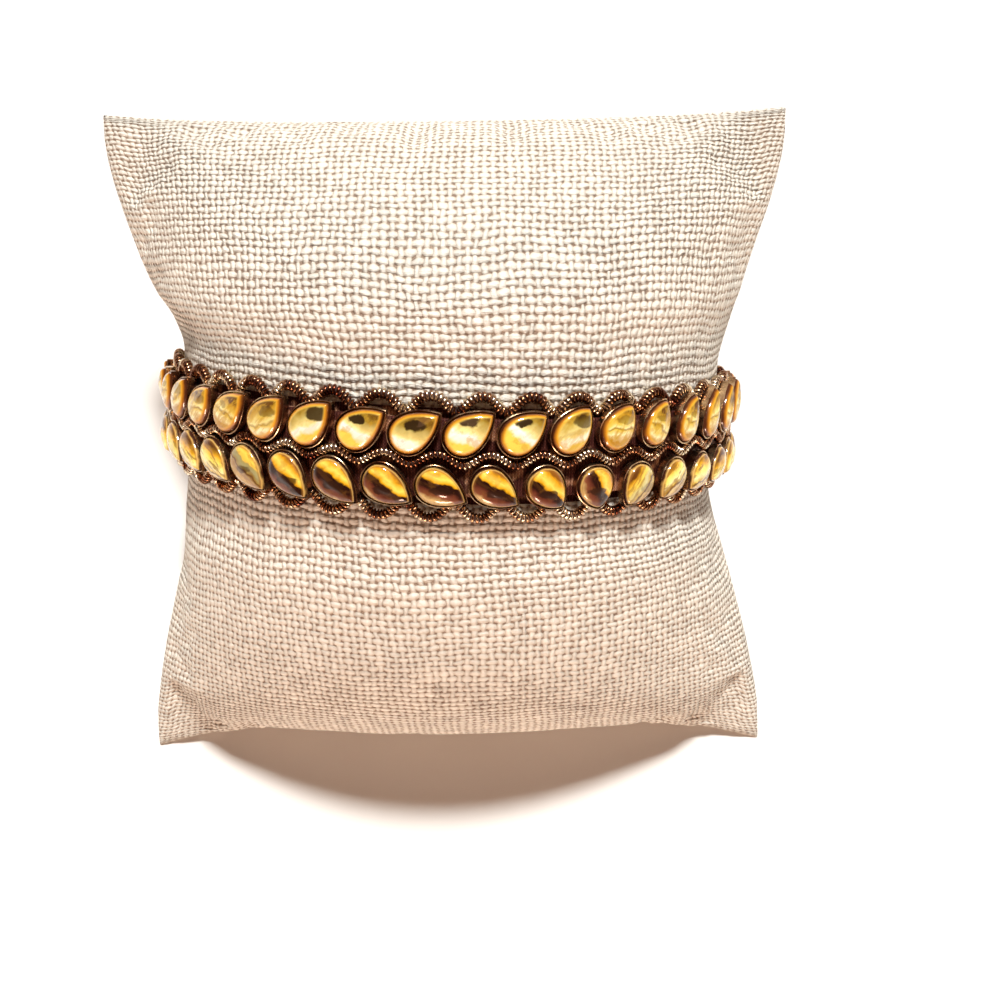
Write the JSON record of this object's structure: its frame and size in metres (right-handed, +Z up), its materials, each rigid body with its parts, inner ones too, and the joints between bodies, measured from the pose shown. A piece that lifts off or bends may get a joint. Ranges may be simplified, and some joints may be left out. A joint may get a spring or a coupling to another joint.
{
  "type": "kundan bracelet on display pillow",
  "caption": "Two-row bracelet of gold-foiled pear glass stones in thin cups on a ribbon edged with coiled-wire cords, fastened round a small linen display pillow.",
  "frame": {"origin": "centre of the bounding box on the table, with the pillow leaning back on its two bottom corners, its pressed back and the clasp", "axes": "+X along the pillow's bottom edge, to its right seen from the front; +Y from the bottom edge towards the raised top edge; +Z up"},
  "size_m": [0.0824, 0.0728, 0.0519],
  "materials": {
    "linen": "cream plain-weave linen",
    "ribbon": "copper-coloured woven ribbon",
    "bronze_wire": "dark bronze coiled wire",
    "gold_cup": "thin antique gold",
    "glass_stone": "gold-foiled polished glass",
    "clasp_metal": "satin antique gold"
  },
  "bodies": {
    "root": {"pillow": "linen", "ribbon_band": "ribbon", "upper_trim": "bronze_wire", "middle_cord": "bronze_wire", "lower_trim": "bronze_wire", "upper_settings": "gold_cup", "lower_settings": "gold_cup", "upper_stones": "glass_stone", "lower_stones": "glass_stone", "clasp": "clasp_metal"}
  },
  "joints": []
}
